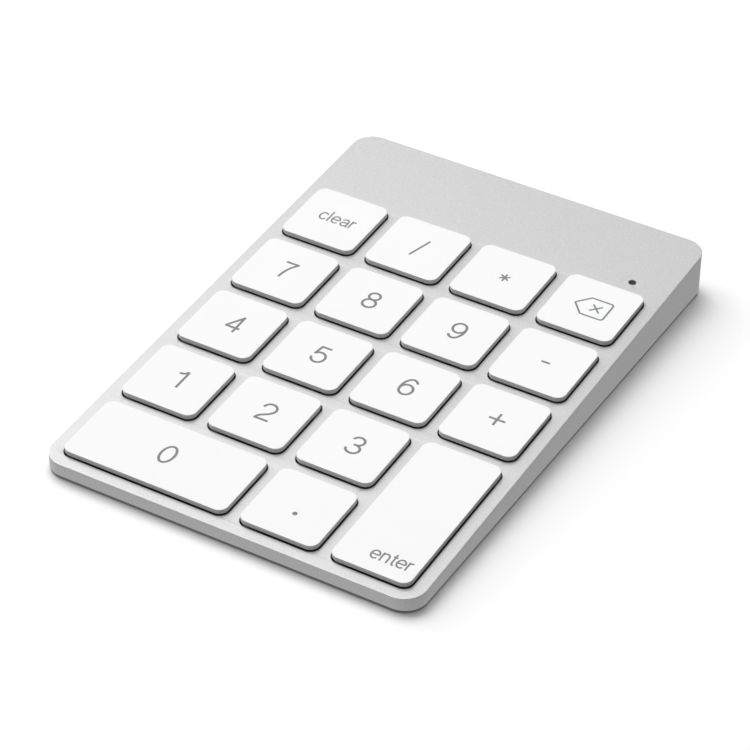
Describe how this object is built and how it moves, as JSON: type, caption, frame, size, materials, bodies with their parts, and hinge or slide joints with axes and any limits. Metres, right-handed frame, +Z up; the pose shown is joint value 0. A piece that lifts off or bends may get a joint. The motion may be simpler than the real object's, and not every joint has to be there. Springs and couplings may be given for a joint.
{
  "type": "numeric keypad",
  "caption": "Slim wireless numeric keypad: a wedge-shaped aluminium casing with low white scissor keys, digits and arithmetic keys, tall enter and wide zero.",
  "frame": {"origin": "on the desk, under the middle of the casing's outline", "axes": "+X to the user's right, +Y from the front edge to the rear, +Z up from the desk"},
  "size_m": [0.079, 0.1166, 0.0097],
  "materials": {
    "anodised_aluminium": "bead-blasted and clear-anodised, satin",
    "keycap_plastic": "white, fine matte texture with grey printed legends",
    "cover_plastic": "light grey, fine matte texture",
    "foot_rubber": "dark grey, matte",
    "screw_steel": "bright zinc plate",
    "plate_steel": "galvanised sheet",
    "membrane_film": "clear polyester film with printed silver tracks",
    "dome_silicone": "translucent silicone, satin",
    "circuit_board": "green solder resist",
    "battery_foil": "laminated pouch foil, satin",
    "port_steel": "nickel plate",
    "switch_steel": "nickel plate",
    "led_resin": "diffuse resin",
    "lens_smoke": "smoked, polished",
    "control_plastic": "dark grey, satin",
    "scissor_acetal": "natural acetal, moulded",
    "wire_steel": "drawn spring wire"
  },
  "bodies": {
    "casing": {"top_casing": "anodised_aluminium", "bottom_cover": "cover_plastic", "foot_front_left": "foot_rubber", "foot_front_right": "foot_rubber", "foot_rear_left": "foot_rubber", "foot_rear_right": "foot_rubber", "cover_screw_left": "screw_steel", "cover_screw_right": "screw_steel", "board_screw_left": "screw_steel", "board_screw_right": "screw_steel", "key_plate": "plate_steel", "contact_membrane": "membrane_film", "dome_sheet": "dome_silicone", "main_board": "circuit_board", "battery": "battery_foil", "usb_port": "port_steel", "power_switch_body": "switch_steel", "pairing_switch": "switch_steel", "status_led": "led_resin", "led_lens": "lens_smoke"},
    "power_switch_knob": {"power_switch_knob": "control_plastic"},
    "pairing_button": {"pairing_button": "control_plastic"},
    "key_clear": {"keycap_clear": "keycap_plastic"},
    "scissor_clear": {"scissor_frame_clear": "scissor_acetal"},
    "key_divide": {"keycap_divide": "keycap_plastic"},
    "scissor_divide": {"scissor_frame_divide": "scissor_acetal"},
    "key_multiply": {"keycap_multiply": "keycap_plastic"},
    "scissor_multiply": {"scissor_frame_multiply": "scissor_acetal"},
    "key_backspace": {"keycap_backspace": "keycap_plastic"},
    "scissor_backspace": {"scissor_frame_backspace": "scissor_acetal"},
    "key_7": {"keycap_7": "keycap_plastic"},
    "scissor_7": {"scissor_frame_7": "scissor_acetal"},
    "key_8": {"keycap_8": "keycap_plastic"},
    "scissor_8": {"scissor_frame_8": "scissor_acetal"},
    "key_9": {"keycap_9": "keycap_plastic"},
    "scissor_9": {"scissor_frame_9": "scissor_acetal"},
    "key_minus": {"keycap_minus": "keycap_plastic"},
    "scissor_minus": {"scissor_frame_minus": "scissor_acetal"},
    "key_4": {"keycap_4": "keycap_plastic"},
    "scissor_4": {"scissor_frame_4": "scissor_acetal"},
    "key_5": {"keycap_5": "keycap_plastic"},
    "scissor_5": {"scissor_frame_5": "scissor_acetal"},
    "key_6": {"keycap_6": "keycap_plastic"},
    "scissor_6": {"scissor_frame_6": "scissor_acetal"},
    "key_plus": {"keycap_plus": "keycap_plastic"},
    "scissor_plus": {"scissor_frame_plus": "scissor_acetal"},
    "key_1": {"keycap_1": "keycap_plastic"},
    "scissor_1": {"scissor_frame_1": "scissor_acetal"},
    "key_2": {"keycap_2": "keycap_plastic"},
    "scissor_2": {"scissor_frame_2": "scissor_acetal"},
    "key_3": {"keycap_3": "keycap_plastic"},
    "scissor_3": {"scissor_frame_3": "scissor_acetal"},
    "key_enter": {"keycap_enter": "keycap_plastic"},
    "scissor_enter": {"scissor_frame_enter": "scissor_acetal"},
    "stabiliser_enter": {"stabiliser_wire_enter": "wire_steel"},
    "key_0": {"keycap_0": "keycap_plastic"},
    "scissor_0": {"scissor_frame_0": "scissor_acetal"},
    "stabiliser_0": {"stabiliser_wire_0": "wire_steel"},
    "key_decimal": {"keycap_decimal": "keycap_plastic"},
    "scissor_decimal": {"scissor_frame_decimal": "scissor_acetal"}
  },
  "joints": [
    {"name": "key_clear_press", "type": "slide", "parent": "casing", "child": "key_clear", "axis": [0, 0.0537, -0.9986], "range_m": [0, 0.0012], "stiffness_N_per_m": 400, "springref_m": -0.0005, "deforming": ["dome_sheet"]},
    {"name": "scissor_clear_fold", "type": "hinge", "parent": "casing", "child": "scissor_clear", "pos_m": [-0.0285, 0.03329, 0.00702], "axis": [1, 0, 0], "range_deg": [0, 6.79]},
    {"name": "key_divide_press", "type": "slide", "parent": "casing", "child": "key_divide", "axis": [0, 0.0537, -0.9986], "range_m": [0, 0.0012], "stiffness_N_per_m": 400, "springref_m": -0.0005},
    {"name": "scissor_divide_fold", "type": "hinge", "parent": "casing", "child": "scissor_divide", "pos_m": [-0.0095, 0.03329, 0.00702], "axis": [1, 0, 0], "range_deg": [0, 6.79]},
    {"name": "key_multiply_press", "type": "slide", "parent": "casing", "child": "key_multiply", "axis": [0, 0.0537, -0.9986], "range_m": [0, 0.0012], "stiffness_N_per_m": 400, "springref_m": -0.0005},
    {"name": "scissor_multiply_fold", "type": "hinge", "parent": "casing", "child": "scissor_multiply", "pos_m": [0.0095, 0.03329, 0.00702], "axis": [1, 0, 0], "range_deg": [0, 6.79]},
    {"name": "key_backspace_press", "type": "slide", "parent": "casing", "child": "key_backspace", "axis": [0, 0.0537, -0.9986], "range_m": [0, 0.0012], "stiffness_N_per_m": 400, "springref_m": -0.0005},
    {"name": "scissor_backspace_fold", "type": "hinge", "parent": "casing", "child": "scissor_backspace", "pos_m": [0.0285, 0.03329, 0.00702], "axis": [1, 0, 0], "range_deg": [0, 6.79]},
    {"name": "key_7_press", "type": "slide", "parent": "casing", "child": "key_7", "axis": [0, 0.0537, -0.9986], "range_m": [0, 0.0012], "stiffness_N_per_m": 400, "springref_m": -0.0005},
    {"name": "scissor_7_fold", "type": "hinge", "parent": "casing", "child": "scissor_7", "pos_m": [-0.0285, 0.01431, 0.006], "axis": [1, 0, 0], "range_deg": [0, 6.79]},
    {"name": "key_8_press", "type": "slide", "parent": "casing", "child": "key_8", "axis": [0, 0.0537, -0.9986], "range_m": [0, 0.0012], "stiffness_N_per_m": 400, "springref_m": -0.0005},
    {"name": "scissor_8_fold", "type": "hinge", "parent": "casing", "child": "scissor_8", "pos_m": [-0.0095, 0.01431, 0.006], "axis": [1, 0, 0], "range_deg": [0, 6.79]},
    {"name": "key_9_press", "type": "slide", "parent": "casing", "child": "key_9", "axis": [0, 0.0537, -0.9986], "range_m": [0, 0.0012], "stiffness_N_per_m": 400, "springref_m": -0.0005},
    {"name": "scissor_9_fold", "type": "hinge", "parent": "casing", "child": "scissor_9", "pos_m": [0.0095, 0.01431, 0.006], "axis": [1, 0, 0], "range_deg": [0, 6.79]},
    {"name": "key_minus_press", "type": "slide", "parent": "casing", "child": "key_minus", "axis": [0, 0.0537, -0.9986], "range_m": [0, 0.0012], "stiffness_N_per_m": 400, "springref_m": -0.0005},
    {"name": "scissor_minus_fold", "type": "hinge", "parent": "casing", "child": "scissor_minus", "pos_m": [0.0285, 0.01431, 0.006], "axis": [1, 0, 0], "range_deg": [0, 6.79]},
    {"name": "key_4_press", "type": "slide", "parent": "casing", "child": "key_4", "axis": [0, 0.0537, -0.9986], "range_m": [0, 0.0012], "stiffness_N_per_m": 400, "springref_m": -0.0005},
    {"name": "scissor_4_fold", "type": "hinge", "parent": "casing", "child": "scissor_4", "pos_m": [-0.0285, -0.00466, 0.00498], "axis": [1, 0, 0], "range_deg": [0, 6.79]},
    {"name": "key_5_press", "type": "slide", "parent": "casing", "child": "key_5", "axis": [0, 0.0537, -0.9986], "range_m": [0, 0.0012], "stiffness_N_per_m": 400, "springref_m": -0.0005},
    {"name": "scissor_5_fold", "type": "hinge", "parent": "casing", "child": "scissor_5", "pos_m": [-0.0095, -0.00466, 0.00498], "axis": [1, 0, 0], "range_deg": [0, 6.79]},
    {"name": "key_6_press", "type": "slide", "parent": "casing", "child": "key_6", "axis": [0, 0.0537, -0.9986], "range_m": [0, 0.0012], "stiffness_N_per_m": 400, "springref_m": -0.0005},
    {"name": "scissor_6_fold", "type": "hinge", "parent": "casing", "child": "scissor_6", "pos_m": [0.0095, -0.00466, 0.00498], "axis": [1, 0, 0], "range_deg": [0, 6.79]},
    {"name": "key_plus_press", "type": "slide", "parent": "casing", "child": "key_plus", "axis": [0, 0.0537, -0.9986], "range_m": [0, 0.0012], "stiffness_N_per_m": 400, "springref_m": -0.0005},
    {"name": "scissor_plus_fold", "type": "hinge", "parent": "casing", "child": "scissor_plus", "pos_m": [0.0285, -0.00466, 0.00498], "axis": [1, 0, 0], "range_deg": [0, 6.79]},
    {"name": "key_1_press", "type": "slide", "parent": "casing", "child": "key_1", "axis": [0, 0.0537, -0.9986], "range_m": [0, 0.0012], "stiffness_N_per_m": 400, "springref_m": -0.0005},
    {"name": "scissor_1_fold", "type": "hinge", "parent": "casing", "child": "scissor_1", "pos_m": [-0.0285, -0.02363, 0.00396], "axis": [1, 0, 0], "range_deg": [0, 6.79]},
    {"name": "key_2_press", "type": "slide", "parent": "casing", "child": "key_2", "axis": [0, 0.0537, -0.9986], "range_m": [0, 0.0012], "stiffness_N_per_m": 400, "springref_m": -0.0005},
    {"name": "scissor_2_fold", "type": "hinge", "parent": "casing", "child": "scissor_2", "pos_m": [-0.0095, -0.02363, 0.00396], "axis": [1, 0, 0], "range_deg": [0, 6.79]},
    {"name": "key_3_press", "type": "slide", "parent": "casing", "child": "key_3", "axis": [0, 0.0537, -0.9986], "range_m": [0, 0.0012], "stiffness_N_per_m": 400, "springref_m": -0.0005},
    {"name": "scissor_3_fold", "type": "hinge", "parent": "casing", "child": "scissor_3", "pos_m": [0.0095, -0.02363, 0.00396], "axis": [1, 0, 0], "range_deg": [0, 6.79]},
    {"name": "key_enter_press", "type": "slide", "parent": "casing", "child": "key_enter", "axis": [0, 0.0537, -0.9986], "range_m": [0, 0.0012], "stiffness_N_per_m": 450, "springref_m": -0.0005},
    {"name": "scissor_enter_fold", "type": "hinge", "parent": "casing", "child": "scissor_enter", "pos_m": [0.03335, -0.03796, 0.00319], "axis": [0, -0.9986, -0.0537], "range_deg": [0, 6.79]},
    {"name": "stabiliser_enter_turn", "type": "hinge", "parent": "casing", "child": "stabiliser_enter", "pos_m": [0.0267, -0.03796, 0.00319], "axis": [0, -0.9986, -0.0537], "range_deg": [0, 15.47]},
    {"name": "key_0_press", "type": "slide", "parent": "casing", "child": "key_0", "axis": [0, 0.0537, -0.9986], "range_m": [0, 0.0012], "stiffness_N_per_m": 450, "springref_m": -0.0005},
    {"name": "scissor_0_fold", "type": "hinge", "parent": "casing", "child": "scissor_0", "pos_m": [-0.019, -0.0426, 0.00294], "axis": [1, 0, 0], "range_deg": [0, 6.79]},
    {"name": "stabiliser_0_turn", "type": "hinge", "parent": "casing", "child": "stabiliser_0", "pos_m": [-0.019, -0.04924, 0.00259], "axis": [1, 0, 0], "range_deg": [0, 15.47]},
    {"name": "key_decimal_press", "type": "slide", "parent": "casing", "child": "key_decimal", "axis": [0, 0.0537, -0.9986], "range_m": [0, 0.0012], "stiffness_N_per_m": 400, "springref_m": -0.0005},
    {"name": "scissor_decimal_fold", "type": "hinge", "parent": "casing", "child": "scissor_decimal", "pos_m": [0.0095, -0.0426, 0.00294], "axis": [1, 0, 0], "range_deg": [0, 6.79]},
    {"name": "power_switch_slide", "type": "slide", "parent": "casing", "child": "power_switch_knob", "axis": [1, 0, 0], "range_m": [0, 0.002]},
    {"name": "pairing_button_push", "type": "slide", "parent": "casing", "child": "pairing_button", "axis": [0, -1, 0], "range_m": [0, 0.00025], "stiffness_N_per_m": 2000, "springref_m": -0.0003}
  ],
  "couplings": [
    {"joint": "scissor_clear_fold", "follows": "key_clear_press", "rad_per_m": 98.753},
    {"joint": "scissor_divide_fold", "follows": "key_divide_press", "rad_per_m": 98.753},
    {"joint": "scissor_multiply_fold", "follows": "key_multiply_press", "rad_per_m": 98.753},
    {"joint": "scissor_backspace_fold", "follows": "key_backspace_press", "rad_per_m": 98.753},
    {"joint": "scissor_7_fold", "follows": "key_7_press", "rad_per_m": 98.753},
    {"joint": "scissor_8_fold", "follows": "key_8_press", "rad_per_m": 98.753},
    {"joint": "scissor_9_fold", "follows": "key_9_press", "rad_per_m": 98.753},
    {"joint": "scissor_minus_fold", "follows": "key_minus_press", "rad_per_m": 98.753},
    {"joint": "scissor_4_fold", "follows": "key_4_press", "rad_per_m": 98.753},
    {"joint": "scissor_5_fold", "follows": "key_5_press", "rad_per_m": 98.753},
    {"joint": "scissor_6_fold", "follows": "key_6_press", "rad_per_m": 98.753},
    {"joint": "scissor_plus_fold", "follows": "key_plus_press", "rad_per_m": 98.753},
    {"joint": "scissor_1_fold", "follows": "key_1_press", "rad_per_m": 98.753},
    {"joint": "scissor_2_fold", "follows": "key_2_press", "rad_per_m": 98.753},
    {"joint": "scissor_3_fold", "follows": "key_3_press", "rad_per_m": 98.753},
    {"joint": "scissor_enter_fold", "follows": "key_enter_press", "rad_per_m": 98.753},
    {"joint": "stabiliser_enter_turn", "follows": "key_enter_press", "rad_per_m": 224.94},
    {"joint": "scissor_0_fold", "follows": "key_0_press", "rad_per_m": 98.753},
    {"joint": "stabiliser_0_turn", "follows": "key_0_press", "rad_per_m": 224.94},
    {"joint": "scissor_decimal_fold", "follows": "key_decimal_press", "rad_per_m": 98.753}
  ]
}
